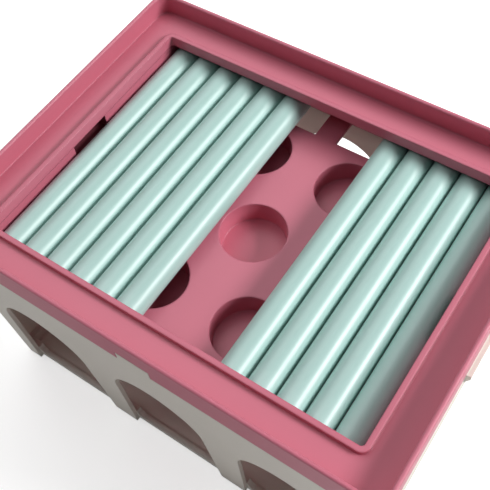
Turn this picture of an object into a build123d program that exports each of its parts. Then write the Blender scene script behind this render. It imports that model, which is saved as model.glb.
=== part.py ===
"""Puzzle feeder box: a pink frame and well tray with eleven sliding rods, on a beige arched base.

Millimetres, +Z up. The origin is on the ground under the middle of the box. X runs along the long
sides, from the rods' left stop to their right stop. Y runs along the rods, from near to far.
"""
import math
import os

from build123d import *

# ---- driving dimensions -------------------------------------------------------------------------
# frame
opening_x = 226.0           # clear opening across the rods
opening_y = 162.0           # clear opening along the rods
lip_width = 3.0             # flat top of the lip round the opening
lip_depth = 7.1             # lip top down to the seam with the tray
ledge_drop = 2.6            # lip top down to the ledge
ledge_width = 16.4          # ledge between the lip and the raised rim
ledge_thick = 2.5
rim_wall = 2.6
rim_rise = 10.0             # lip top up to the rim's top edge
skirt_drop = 10.0           # lip top down to the skirt's lower edge
opening_corner = 2.0
rim_corner = 10.0
rim_round = 1.1

# tray
plate_drop = 25.0           # lip top down to the tray's plate
plate_thick = 2.4
tray_wall = 2.2
side_recess = 0.4           # tray side walls stand this far behind the lip
end_recess = 15.2           # tray reaches this far under the ledge past each end of the opening
tray_corner = 3.0
flange_thick = 2.4
flange_gap = 0.3            # flange to skirt
spigot_gap = 0.5            # spigot to the inside of the base
spigot_wall = 1.6
spigot_drop = 4.5
pocket_width = 28.0         # pocket in each side wall, open at the seam
pocket_depth = 9.9
pocket_reach = 8.0
window_tab = 14.0           # tab between the two windows of one end
window_width = 42.0
window_length = 19.2
window_round = 1.0

# wells
well_bore = 38.1
well_depth = 14.0
well_wall = 2.0
well_floor = 2.0
well_pitch = 59.4
well_draft = 2.0            # degrees
row_counts = (4, 3, 4)

# rods
rod_bore = 15.7             # rod diameter
rod_end_bevel = 1.5
rod_lift = 0.05             # running gap to the plate
rod_end_gap = 0.6           # each end to the tray's wall
left_count = 6
left_wall_gap = 0.15
left_rod_gap = 0.25
right_count = 5
right_wall_gap = 1.2
right_rod_gap = 0.4

# base
base_height = 132.5
base_wall = 2.8
base_draft = 2.4            # degrees, inward going down
floor_thick = 3.0
floor_bite = 0.4            # floor and plinth reach this far into the walls
plinth_height = 12.0        # thicker foot of the walls, from the base's underside
plinth_wall = 3.2
sill_rise = 3.0             # floor up to the sills under the arches
sill_corner = 6.0
arch_width = 60.0           # at the crown's widest
arch_pitch = 83.0
arch_count = 3
arch_flare = 2.4            # degrees, jambs outward going down
crown_drop = 36.0           # base's top edge down to the arch crowns
key_width = 20.0            # key that stands up into the skirt's notch
key_rise = 6.0
key_gap = 0.4
finger_width = 44.0
finger_out = 2.5
finger_height = 9.0
finger_face = 2.5
finger_drop = 0.8

# feet and screws
pad_bore = 12.0
pad_proud = 1.5
pad_recess = 1.0
pad_gap = 0.2
pad_inset = 14.0            # pad centre to the base's bottom edge
screw_bore = 3.0
screw_gap = 0.1
screw_head = 5.6
screw_head_height = 1.8
screw_rows = 4
screw_inset = 12.2          # outer screws to the tray's end walls
boss_bore = 8.0
boss_skin = 1.0             # plastic left above the screw's tip

# ---- derived sizes ------------------------------------------------------------------------------
base_bottom = pad_proud
base_top = base_bottom + base_height
lip_top = base_top + skirt_drop
rim_top = lip_top + rim_rise
ledge_top = lip_top - ledge_drop
ledge_under = ledge_top - ledge_thick
seam = lip_top - lip_depth
plate_top = lip_top - plate_drop
plate_under = plate_top - plate_thick

frame_x = opening_x + 2 * (lip_width + ledge_width + rim_wall)
frame_y = opening_y + 2 * (lip_width + ledge_width + rim_wall)
tray_x = opening_x + 2 * side_recess
tray_y = opening_y + 2 * end_recess
flange_under = seam - flange_thick
flange_x = frame_x - 2 * (rim_wall + flange_gap)
flange_y = frame_y - 2 * (rim_wall + flange_gap)
spigot_x = frame_x - 2 * (base_wall + spigot_gap)
spigot_y = frame_y - 2 * (base_wall + spigot_gap)
spigot_corner = rim_corner - base_wall - spigot_gap
row_step = well_pitch * math.sin(math.radians(60))

rod_radius = rod_bore / 2
rod_axis_z = plate_top + rod_lift + rod_radius
rod_length = tray_y - 2 * rod_end_gap

foot_shrink = base_height * math.tan(math.radians(base_draft))
foot_x = frame_x - 2 * foot_shrink
foot_y = frame_y - 2 * foot_shrink
floor_top = base_bottom + floor_thick
plinth_top = base_bottom + plinth_height
crown = base_top - crown_drop
arch_centre = crown - arch_width / 2

screw_pitch = (tray_y - 2 * screw_inset) / (screw_rows - 1)
screw_line = (tray_x / 2 + tray_wall + spigot_x / 2 - spigot_wall) / 2
screw_tip = ledge_top - boss_skin - screw_gap

DEEP = 4 * base_height      # longer than any part, for cuts that go right through

os.makedirs("parts", exist_ok=True)


def save(part, name):
    """Label one finished piece and write it as its own STEP file."""
    part.label = name
    export_step(part, f"parts/{name}.step")


def at(z):
    """The horizontal plane at height z."""
    return Plane.XY.offset(z)


def block(x, y, corner, low, high, mode=Mode.ADD):
    """An upright block with rounded corners, between two heights."""
    with BuildSketch(at(low)) as outline:
        RectangleRounded(x, y, corner)
    extrude(outline.sketch, amount=high - low, mode=mode)


def wall_lean(z):
    """How far the base's drafted walls stand inside the frame's outline at height z."""
    return (base_top - z) * math.tan(math.radians(base_draft))


def edges_at(part, z):
    """The edges of a part that lie level at height z."""
    return part.edges().filter_by_position(Axis.Z, z - 0.01, z + 0.01)


def drafted(low, high, inset, mode=Mode.ADD):
    """A block whose sides follow the base's drafted walls, inset from their outer face."""
    shrink = wall_lean(high) + inset
    with BuildSketch(at(high)) as outline:
        RectangleRounded(frame_x - 2 * shrink, frame_y - 2 * shrink, rim_corner - shrink)
    extrude(outline.sketch, amount=low - high, taper=base_draft, mode=mode)


def cut_arches(foot, corner=0):
    """Cut the row of arches through both long walls, down to a foot that may have round corners."""
    flare = math.radians(arch_flare)
    rise = arch_width / 2 * math.sin(flare)
    top_half = arch_width / 2 * math.cos(flare)
    foot_half = top_half + (arch_centre + rise - foot) * math.tan(flare)
    with BuildSketch(Plane.XZ) as row:
        with GridLocations(arch_pitch, 0, arch_count, 1):
            with Locations((0, arch_centre)):
                Circle(arch_width / 2)
            Polygon(
                (-foot_half, foot),
                (foot_half, foot),
                (top_half, arch_centre + rise),
                (-top_half, arch_centre + rise),
                align=None,
            )
        if corner:
            fillet(row.vertices().group_by(Axis.Z)[0], radius=corner)
    extrude(row.sketch, amount=DEEP, both=True, mode=Mode.SUBTRACT)


# ---- top frame: raised rim, ledge, lip round the opening and skirt -------------------------------
with BuildPart() as top_frame:
    block(frame_x, frame_y, rim_corner, base_top, rim_top)
    inner_x = frame_x - 2 * rim_wall
    inner_y = frame_y - 2 * rim_wall
    inner_corner = rim_corner - rim_wall
    block(inner_x, inner_y, inner_corner, ledge_top, rim_top, mode=Mode.SUBTRACT)
    block(inner_x, inner_y, inner_corner, base_top, ledge_under, mode=Mode.SUBTRACT)
    lip_x = opening_x + 2 * lip_width
    lip_y = opening_y + 2 * lip_width
    block(lip_x, lip_y, opening_corner + lip_width, seam, lip_top)
    with BuildSketch(at(seam)):
        with GridLocations(2 * screw_line, screw_pitch, 2, screw_rows):
            Circle(boss_bore / 2)
    extrude(amount=ledge_under - seam)
    block(opening_x, opening_y, opening_corner, seam, lip_top, mode=Mode.SUBTRACT)
    with BuildSketch(at(seam)):
        with GridLocations(2 * screw_line, screw_pitch, 2, screw_rows):
            Circle(screw_bore / 2 + screw_gap)
    extrude(amount=ledge_top - boss_skin - seam, mode=Mode.SUBTRACT)
    fillet(edges_at(top_frame, rim_top), radius=rim_round)
    with BuildSketch(at(base_top)):
        with GridLocations(0, frame_y - rim_wall, 1, 2):
            Rectangle(key_width + 2 * key_gap, rim_wall)
    extrude(amount=key_rise + key_gap, mode=Mode.SUBTRACT)
save(top_frame.part, "top_frame")

# ---- well tray: plate with drafted wells, walls, flange and spigot -------------------------------
well_places = []
for row, count in enumerate(row_counts):
    for place in range(count):
        well_x = (place - (count - 1) / 2) * well_pitch
        well_y = (row - (len(row_counts) - 1) / 2) * row_step
        well_places.append((well_x, well_y))

with BuildPart() as well_tray:
    block(tray_x + 2 * tray_wall, tray_y + 2 * tray_wall, tray_corner + tray_wall, plate_under, seam)
    block(flange_x, flange_y, rim_corner - rim_wall - flange_gap, flange_under, seam)
    spigot_foot = flange_under - spigot_drop
    block(spigot_x, spigot_y, spigot_corner, spigot_foot, flange_under)
    spigot_inner_x = spigot_x - 2 * spigot_wall
    spigot_inner_y = spigot_y - 2 * spigot_wall
    with BuildSketch(at(spigot_foot)):
        RectangleRounded(spigot_inner_x, spigot_inner_y, spigot_corner - spigot_wall)
        outer_x = tray_x + 2 * tray_wall
        outer_y = tray_y + 2 * tray_wall
        RectangleRounded(outer_x, outer_y, tray_corner + tray_wall, mode=Mode.SUBTRACT)
    extrude(amount=spigot_drop, mode=Mode.SUBTRACT)
    # pockets in the side walls
    with BuildSketch(at(seam)):
        with GridLocations(tray_x + pocket_reach + tray_wall, 0, 2, 1):
            Rectangle(pocket_reach + tray_wall, pocket_width + 2 * tray_wall)
    extrude(amount=-pocket_depth - tray_wall)
    with BuildSketch(at(seam)):
        with GridLocations(tray_x + pocket_reach, 0, 2, 1):
            Rectangle(pocket_reach, pocket_width)
    extrude(amount=-pocket_depth, mode=Mode.SUBTRACT)
    block(tray_x, tray_y, tray_corner, plate_top, seam, mode=Mode.SUBTRACT)
    # well cups
    with BuildSketch(at(plate_top)):
        with Locations(*well_places):
            Circle(well_bore / 2 + well_wall)
    extrude(amount=-well_depth - well_floor, taper=well_draft)
    with BuildSketch(at(plate_top)):
        with Locations(*well_places):
            Circle(well_bore / 2)
    extrude(amount=-well_depth, taper=well_draft, mode=Mode.SUBTRACT)
    # windows at both ends of the plate, beside a tab
    window_y = tray_y / 2 - window_length / 2
    with BuildSketch(at(plate_under)):
        with GridLocations(window_tab + window_width, 2 * window_y, 2, 2):
            RectangleRounded(window_width, window_length, window_round)
    extrude(amount=plate_thick, mode=Mode.SUBTRACT)
    with BuildSketch(at(flange_under)):
        with GridLocations(2 * screw_line, screw_pitch, 2, screw_rows):
            Circle(screw_bore / 2 + 2 * screw_gap)
    extrude(amount=flange_thick, mode=Mode.SUBTRACT)
save(well_tray.part, "well_tray")

# ---- rods ----------------------------------------------------------------------------------------
left_first = rod_radius + left_wall_gap - tray_x / 2
right_first = tray_x / 2 - right_wall_gap - rod_radius
rod_places = [left_first + step * (rod_bore + left_rod_gap) for step in range(left_count)]
right_places = [right_first - step * (rod_bore + right_rod_gap) for step in range(right_count)]
rod_places += reversed(right_places)


def rod(x):
    """One rod with bevelled ends."""
    with BuildPart() as made:
        with BuildSketch(Plane.XZ):
            with Locations((x, rod_axis_z)):
                Circle(rod_radius)
        extrude(amount=rod_length / 2, both=True)
        chamfer(made.edges().filter_by(GeomType.CIRCLE), length=rod_end_bevel)
    return made.part


for number, place in enumerate(rod_places, start=1):
    save(rod(place), f"rod_{number}")

# ---- base: drafted tub with arches, floor, keys and finger tabs ---------------------------------
with BuildPart() as base_shell:
    drafted(base_bottom, base_top, 0)
    drafted(base_bottom, base_top, base_wall, mode=Mode.SUBTRACT)
    # finger tabs on the short sides
    tab_top = base_top - finger_drop
    tab_foot = tab_top - finger_height
    tab_in = frame_x / 2 - wall_lean(tab_foot) - base_wall / 2
    for side in (-1, 1):
        with BuildSketch(Plane.XZ.offset(-finger_width / 2)):
            with BuildLine():
                Polyline(
                    (side * tab_in, tab_top),
                    (side * (frame_x / 2 + finger_out), tab_top),
                    (side * (frame_x / 2 + finger_out), tab_top - finger_face),
                    (side * (frame_x / 2 - wall_lean(tab_foot)), tab_foot),
                    (side * tab_in, tab_foot),
                    close=True,
                )
            make_face()
        extrude(amount=finger_width)
    cut_arches(base_bottom)
    # floor, and a plinth inside the walls that makes a low sill under each arch
    drafted(base_bottom, plinth_top, base_wall - floor_bite)
    with BuildSketch(at(floor_top)):
        rail = 2 * (base_wall + plinth_wall)
        Rectangle(foot_x - rail, foot_y - rail)
    extrude(amount=plinth_height, mode=Mode.SUBTRACT)
    cut_arches(floor_top + sill_rise, sill_corner)
    # keys that locate the frame
    with BuildSketch(at(base_top)):
        with GridLocations(0, frame_y - rim_wall, 1, 2):
            Rectangle(key_width, rim_wall)
    extrude(amount=key_rise)
    # recesses for the pads
    with BuildSketch(at(base_bottom)):
        with GridLocations(foot_x - 2 * pad_inset, foot_y - 2 * pad_inset, 2, 2):
            Circle(pad_bore / 2 + pad_gap)
    extrude(amount=pad_recess, mode=Mode.SUBTRACT)
save(base_shell.part, "base_shell")

# ---- foot pads and screws ------------------------------------------------------------------------
pad_places = GridLocations(foot_x - 2 * pad_inset, foot_y - 2 * pad_inset, 2, 2).locations
for number, place in enumerate(pad_places, start=1):
    with BuildPart() as foot_pad:
        with BuildSketch(Plane.XY):
            with Locations(place):
                Circle(pad_bore / 2)
        extrude(amount=base_bottom + pad_recess)
    save(foot_pad.part, f"foot_pad_{number}")

screw_places = GridLocations(2 * screw_line, screw_pitch, 2, screw_rows).locations
for number, place in enumerate(screw_places, start=1):
    with BuildPart() as frame_screw:
        with BuildSketch(at(flange_under - screw_head_height)):
            with Locations(place):
                Circle(screw_head / 2)
        extrude(amount=screw_head_height)
        with BuildSketch(at(flange_under)):
            with Locations(place):
                Circle(screw_bore / 2)
        extrude(amount=screw_tip - flange_under)
    save(frame_screw.part, f"frame_screw_{number}")
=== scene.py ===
"""Looks of the puzzle feeder box: moulded pink frame and well tray, mint rods, beige arched base."""
import math

import bpy
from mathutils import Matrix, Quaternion, Vector

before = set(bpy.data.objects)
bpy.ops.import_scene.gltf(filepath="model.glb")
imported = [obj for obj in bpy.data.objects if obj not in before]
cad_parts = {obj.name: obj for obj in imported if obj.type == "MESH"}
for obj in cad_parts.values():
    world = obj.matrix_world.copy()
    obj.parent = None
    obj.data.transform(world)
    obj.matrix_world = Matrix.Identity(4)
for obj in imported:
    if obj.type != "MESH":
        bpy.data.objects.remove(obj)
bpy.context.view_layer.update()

MM = 0.001
LIP_TOP = 0.144                     # m, height of the lip's top edge, where the camera and the lamps aim

# ---- camera ---------------------------------------------------------------------------------------
CAMERA_AT = (0.15377, -0.18960, 0.48800)
CAMERA_AIM = (0.01098, -0.02140, LIP_TOP)
CAMERA_ROLL = -7.578                # degrees
CAMERA_LENS = 59.05                 # mm
CAMERA_SENSOR = 36.0                # mm across
CAMERA_NEAR_CLIP = 0.01             # m

# ---- light ----------------------------------------------------------------------------------------
LAMP_AWAY = 1.5                     # m from the middle of the lip to each lamp
LAMPS = {                           # name: direction seen from the box, width and height in m, power in W
    "key": ((0.78, 0.37, 0.52), (0.7, 0.40), 22.3),
    "left": ((-0.80, 0.20, 0.60), (2.6, 2.0), 13.0),
    "overhead": ((-0.25, 0.32, 0.90), (1.4, 1.4), 6.0),
    "high_front": ((0.0, -0.38, 0.92), (1.8, 0.5), 1.4),
    "front": ((0.0, -1.0, 0.0), (2.4, 0.25), 3.2),
}
FILL_LEVEL = 0.005                  # strength of the white world round the box, as light
BACKDROP_LEVEL = 1.0                # the same world as the camera sees it

# ---- floor ----------------------------------------------------------------------------------------
FLOOR_SIZE = 6.0                    # m
FLOOR_DROP = 0.0002                 # m under the pads, so that the two never share a plane
FLOOR_SHADE = "#e8e8e8"             # what the floor gives back to the box
FLOOR_LIFT = 0.6                    # glow that the camera alone sees added to the floor by the box
FLOOR_FADE = (0.45, 1.1)            # m from the box, over which that glow rises to white
WHITE = "#ffffff"

# ---- moulded plastic ------------------------------------------------------------------------------
# a mould's real grain is a few hundredths of a millimetre: each finish draws it coarser, so that it shows
CLOUD_MM = 45                       # size of the patches where the colour clouds
CLOUD_DETAIL = 3.0                  # octaves of noise
GRAIN_DETAIL = 2.0                  # octaves of noise
GRAIN_STRENGTH = 0.6                # of the grain's bump
ROUGHNESS_DRIFT = 0.04              # either way from a finish's own roughness
EDGE_SAMPLES = 6                    # rays that look for the edges to soften
PLASTIC_IOR = 1.5                   # typical of ABS
SILL_BAND = 8.0                     # mm, the sills under the arches end below this height
# where the painted shade of the end-wall pockets is laid on
POCKET_SPAN = (("X", 113.55, 123.0), ("Y", -1.0, 14.3), ("Z", 124.0, 138.9))   # mm, of absolute coordinates

# ---- zinc-plated steel ----------------------------------------------------------------------------
ZINC_SHADE = "#b9bcc0"
ZINC_GRAIN_MM = 0.5
ZINC_ROUGHNESS = (0.22, 0.36)


# ---- node helpers ---------------------------------------------------------------------------------
def linear(code):
    """An sRGB hex colour as linear RGBA."""
    channels = [int(code[i:i + 2], 16) / 255 for i in (1, 3, 5)]
    return [c / 12.92 if c <= 0.04045 else ((c + 0.055) / 1.055) ** 2.4 for c in channels] + [1.0]


def add(tree, kind, inputs=None, **settings):
    """Adds one shader node. An input is a value, or another node's output socket to link from."""
    node = tree.nodes.new(kind)
    for name, value in settings.items():
        setattr(node, name, value)
    for name, value in (inputs or {}).items():
        if isinstance(value, bpy.types.NodeSocket):
            tree.links.new(value, node.inputs[name])
        else:
            node.inputs[name].default_value = value
    return node


def blank(name):
    """A material with an empty node tree."""
    made = bpy.data.materials.new(name)
    made.use_nodes = True
    made.node_tree.nodes.clear()
    return made


def camera_pick(tree, as_light, as_seen):
    """One shader for the light that reaches the box, another for what the camera sees."""
    path = add(tree, "ShaderNodeLightPath")
    pick = add(tree, "ShaderNodeMixShader", {"Fac": path.outputs["Is Camera Ray"], 1: as_light, 2: as_seen})
    return pick.outputs["Shader"]


# ---- materials ------------------------------------------------------------------------------------
def pocket_painted_shade_mask(tree, place):
    """Mask of the painted shade: 1 inside the pockets of both end walls, which mirror each other, and 0
    elsewhere.
    """
    side = add(tree, "ShaderNodeVectorMath", {0: place}, operation="ABSOLUTE").outputs["Vector"]
    reach = add(tree, "ShaderNodeSeparateXYZ", {"Vector": side})
    inside = 1.0
    for axis, low, high in POCKET_SPAN:
        within = add(tree, "ShaderNodeMath", {0: reach.outputs[axis], 1: (low + high) / 2 * MM,
                                              2: (high - low) / 2 * MM}, operation="COMPARE").outputs[0]
        inside = add(tree, "ShaderNodeMath", {0: within, 1: inside}, operation="MULTIPLY").outputs[0]
    return inside


def sill_radius(tree, place, edge_mm, sill_edge_mm):
    """The edge radius in metres: wider on the low sills than above them."""
    level = add(tree, "ShaderNodeSeparateXYZ", {"Vector": place}).outputs["Z"]
    low = add(tree, "ShaderNodeMath", {0: level, 1: SILL_BAND * MM}, operation="LESS_THAN").outputs[0]
    return add(tree, "ShaderNodeMapRange", {"Value": low, "To Min": edge_mm * MM,
                                            "To Max": sill_edge_mm * MM}).outputs["Result"]


def moulded_plastic(name, colour, shade, rough, grain_mm, grain_depth_mm, edge_mm,
                    stretch=(1, 1, 1), ior=PLASTIC_IOR, pocket_painted_shade=None, sill_edge_mm=None):
    """Injection-moulded plastic: an even colour that clouds a little towards a second shade, a fine
    eroded grain from the mould as bump, roughness that drifts with it, and softly broken edges.
    A colour for the pockets of the end walls is painted shade, standing in for how deep they are,
    and a sill edge is the wider rounding of the sills under the arches."""
    made = blank(name)
    tree = made.node_tree
    place = add(tree, "ShaderNodeTexCoord").outputs["Object"]
    stretched = add(tree, "ShaderNodeMapping", {"Vector": place, "Scale": stretch}).outputs["Vector"]
    cloud = add(tree, "ShaderNodeTexNoise", {"Vector": stretched, "Scale": 1 / (CLOUD_MM * MM),
                                             "Detail": CLOUD_DETAIL}).outputs["Fac"]
    tint = add(tree, "ShaderNodeMix", {"Factor": cloud, 6: linear(colour), 7: linear(shade)},
               data_type="RGBA").outputs[2]
    # painted shade: inside the end-wall pockets the colour turns to a darker one that stands in for their
    # depth
    if pocket_painted_shade:
        inside = pocket_painted_shade_mask(tree, place)
        tint = add(tree, "ShaderNodeMix", {"Factor": inside, 6: tint, 7: linear(pocket_painted_shade)},
                   data_type="RGBA").outputs[2]
    grain = add(tree, "ShaderNodeTexNoise", {"Vector": stretched, "Scale": 1 / (grain_mm * MM),
                                             "Detail": GRAIN_DETAIL}).outputs["Fac"]
    drift = add(tree, "ShaderNodeMapRange", {"Value": grain, "To Min": rough - ROUGHNESS_DRIFT,
                                             "To Max": rough + ROUGHNESS_DRIFT}).outputs["Result"]
    radius = sill_radius(tree, place, edge_mm, sill_edge_mm) if sill_edge_mm else edge_mm * MM
    edges = add(tree, "ShaderNodeBevel", {"Radius": radius}, samples=EDGE_SAMPLES)
    bump = add(tree, "ShaderNodeBump", {"Height": grain, "Distance": grain_depth_mm * MM,
                                        "Strength": GRAIN_STRENGTH, "Normal": edges.outputs["Normal"]})
    shader = add(tree, "ShaderNodeBsdfPrincipled", {
        "Base Color": tint,
        "Roughness": drift,
        "IOR": ior,
        "Normal": bump.outputs["Normal"],
    })
    add(tree, "ShaderNodeOutputMaterial", {"Surface": shader.outputs["BSDF"]})
    return made


def plated_steel():
    """Zinc-plated screws: bright grey metal with a fine turned grain."""
    made = blank("zinc_plated_steel")
    tree = made.node_tree
    place = add(tree, "ShaderNodeTexCoord").outputs["Object"]
    smooth, dull = ZINC_ROUGHNESS
    grain = add(tree, "ShaderNodeTexNoise", {"Vector": place, "Scale": 1 / (ZINC_GRAIN_MM * MM),
                                             "Detail": GRAIN_DETAIL}).outputs["Fac"]
    drift = add(tree, "ShaderNodeMapRange", {"Value": grain, "To Min": smooth,
                                             "To Max": dull}).outputs["Result"]
    shader = add(tree, "ShaderNodeBsdfPrincipled", {
        "Base Color": linear(ZINC_SHADE),
        "Metallic": 1.0,
        "Roughness": drift,
    })
    add(tree, "ShaderNodeOutputMaterial", {"Surface": shader.outputs["BSDF"]})
    return made


# ABS with a satin eroded finish: even pink, soft broad highlights, and painted shade in the end-wall
# pockets
pink_abs = moulded_plastic("pink_moulded_abs", "#d07588", "#cc6f83", rough=0.38, grain_mm=0.9,
                           grain_depth_mm=0.02, edge_mm=1.4, pocket_painted_shade="#8c4754")
# waxy polypropylene: a shallow grain drawn out along the rods, and an index that lifts their highlights
mint_pp = moulded_plastic("mint_polypropylene", "#b0d3cd", "#abcfc8", rough=0.41, grain_mm=1.4,
                          grain_depth_mm=0.006, edge_mm=0.2, stretch=(1, 0.15, 1), ior=1.74)
# ABS in a warm off-white with the same grain as the frame, a little rougher
beige_abs = moulded_plastic("beige_moulded_abs", "#efe8df", "#e9e3d8", rough=0.45, grain_mm=0.9,
                            grain_depth_mm=0.02, edge_mm=0.9, sill_edge_mm=4.0)
# thermoplastic rubber pads: matt grey
pad_tpr = moulded_plastic("grey_pad_rubber", "#8b8780", "#7f7b75", rough=0.75, grain_mm=0.6,
                          grain_depth_mm=0.03, edge_mm=0.2)
zinc_steel = plated_steel()

FINISHES = {                        # start of a node's name: its material
    "top_frame": pink_abs,
    "well_tray": pink_abs,
    "rod_": mint_pp,
    "base_shell": beige_abs,
    "foot_pad_": pad_tpr,
    "frame_screw_": zinc_steel,
}
for name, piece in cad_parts.items():
    for start, finish in FINISHES.items():
        if name.startswith(start):
            piece.data.materials.clear()
            piece.data.materials.append(finish)


# ---- floor and backdrop ---------------------------------------------------------------------------
def pale_floor():
    """White paper: diffuse, lifted to white for the camera alone, with the box's shadow kept."""
    made = blank("white_paper")
    tree = made.node_tree
    place = add(tree, "ShaderNodeTexCoord").outputs["Object"]
    away = add(tree, "ShaderNodeVectorMath", {0: place}, operation="LENGTH").outputs["Value"]
    near, far = FLOOR_FADE
    lift = add(tree, "ShaderNodeMapRange", {"Value": away, "From Min": near, "From Max": far,
                                            "To Min": FLOOR_LIFT, "To Max": 1.0}).outputs["Result"]
    matt = add(tree, "ShaderNodeBsdfDiffuse", {"Color": linear(FLOOR_SHADE)}).outputs["BSDF"]
    glow = add(tree, "ShaderNodeEmission", {"Color": linear(WHITE), "Strength": lift}).outputs["Emission"]
    both = add(tree, "ShaderNodeAddShader", {0: matt, 1: glow}).outputs["Shader"]
    add(tree, "ShaderNodeOutputMaterial", {"Surface": camera_pick(tree, matt, both)})
    return made


def studio_world():
    """A world that is white to the camera and gives the box next to no light."""
    made = bpy.data.worlds.new("studio")
    made.use_nodes = True
    tree = made.node_tree
    tree.nodes.clear()
    dim, bright = [add(tree, "ShaderNodeBackground", {"Color": linear(WHITE), "Strength": level})
                   for level in (FILL_LEVEL, BACKDROP_LEVEL)]
    surface = camera_pick(tree, dim.outputs["Background"], bright.outputs["Background"])
    add(tree, "ShaderNodeOutputWorld", {"Surface": surface})
    return made


bpy.ops.mesh.primitive_plane_add(size=FLOOR_SIZE, location=(0, 0, -FLOOR_DROP))
floor = bpy.context.object
floor.name = "floor"
floor.data.materials.append(pale_floor())
bpy.context.scene.world = studio_world()


# ---- lamps and camera -----------------------------------------------------------------------------
def softbox(name, direction, size, power):
    """A rectangular lamp that faces the middle of the lip from a direction."""
    lamp = bpy.data.lights.new(name, "AREA")
    lamp.shape = "RECTANGLE"
    lamp.size, lamp.size_y = size
    lamp.energy = power
    holder = bpy.data.objects.new(name, lamp)
    toward = Vector(direction).normalized()
    holder.location = Vector((0, 0, LIP_TOP)) + toward * LAMP_AWAY
    holder.rotation_euler = toward.to_track_quat("Z", "Y").to_euler()
    bpy.context.collection.objects.link(holder)


for name, (direction, size, power) in LAMPS.items():
    softbox(name + "_lamp", direction, size, power)

lens = bpy.data.cameras.new("camera")
lens.sensor_width = CAMERA_SENSOR
lens.sensor_fit = "HORIZONTAL"
lens.lens = CAMERA_LENS
lens.clip_start = CAMERA_NEAR_CLIP
camera = bpy.data.objects.new("camera", lens)
camera.location = CAMERA_AT
sight = Vector(CAMERA_AIM) - Vector(CAMERA_AT)
camera.rotation_mode = "QUATERNION"
camera.rotation_quaternion = (sight.to_track_quat("-Z", "Y")
                              @ Quaternion((0, 0, 1), math.radians(CAMERA_ROLL)))
bpy.context.collection.objects.link(camera)
bpy.context.scene.camera = camera
bpy.context.scene.view_settings.view_transform = "Standard"
